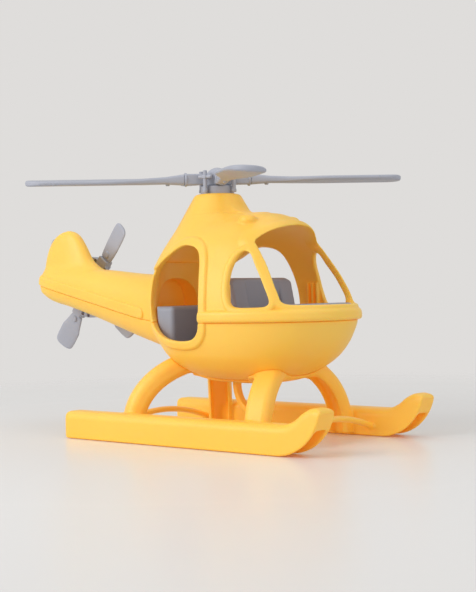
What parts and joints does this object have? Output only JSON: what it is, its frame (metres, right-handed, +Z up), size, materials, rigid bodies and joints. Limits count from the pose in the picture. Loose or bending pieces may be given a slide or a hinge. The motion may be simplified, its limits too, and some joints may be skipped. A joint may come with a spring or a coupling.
{
  "type": "toy helicopter",
  "caption": "Moulded plastic toy helicopter with an open cabin, long skids, a spinning main rotor and a spinning tail rotor.",
  "frame": {"origin": "on the ground plane, at the centre of the object's bounding box seen from above", "axes": "+X to the nose, +Y to the port side, +Z up"},
  "size_m": [0.2706, 0.1667, 0.1544],
  "materials": {
    "yellow_plastic": "satin moulded plastic, fine grain",
    "grey_plastic": "satin moulded plastic, fine grain",
    "seat_plastic": "satin moulded plastic, fine grain"
  },
  "bodies": {
    "airframe": {"upper_shell": "yellow_plastic", "lower_shell": "yellow_plastic", "landing_gear": "yellow_plastic", "gear_rivets": "yellow_plastic", "seat_insert": "seat_plastic", "mast_post": "grey_plastic", "mast_collar": "grey_plastic", "mast_clip": "grey_plastic", "tail_axle": "grey_plastic", "tail_clip": "grey_plastic"},
    "main_rotor": {"rotor_head": "grey_plastic", "rotor_cap": "grey_plastic", "pitch_links": "grey_plastic", "main_blade_1": "grey_plastic", "main_blade_2": "grey_plastic", "main_blade_3": "grey_plastic", "main_blade_4": "grey_plastic"},
    "tail_rotor": {"tail_hub": "grey_plastic", "tail_cap": "grey_plastic", "tail_blade_1": "grey_plastic", "tail_blade_2": "grey_plastic", "tail_blade_3": "grey_plastic", "tail_blade_4": "grey_plastic"}
  },
  "joints": [
    {"name": "main_rotor_spin", "type": "hinge", "parent": "airframe", "child": "main_rotor", "pos_m": [0.02805, 0, 0.1454], "axis": [0.0334, -0.0403, 0.9986], "continuous": true},
    {"name": "tail_rotor_spin", "type": "hinge", "parent": "airframe", "child": "tail_rotor", "pos_m": [-0.09645, 0.0188, 0.0863], "axis": [0, 1, 0], "continuous": true}
  ]
}
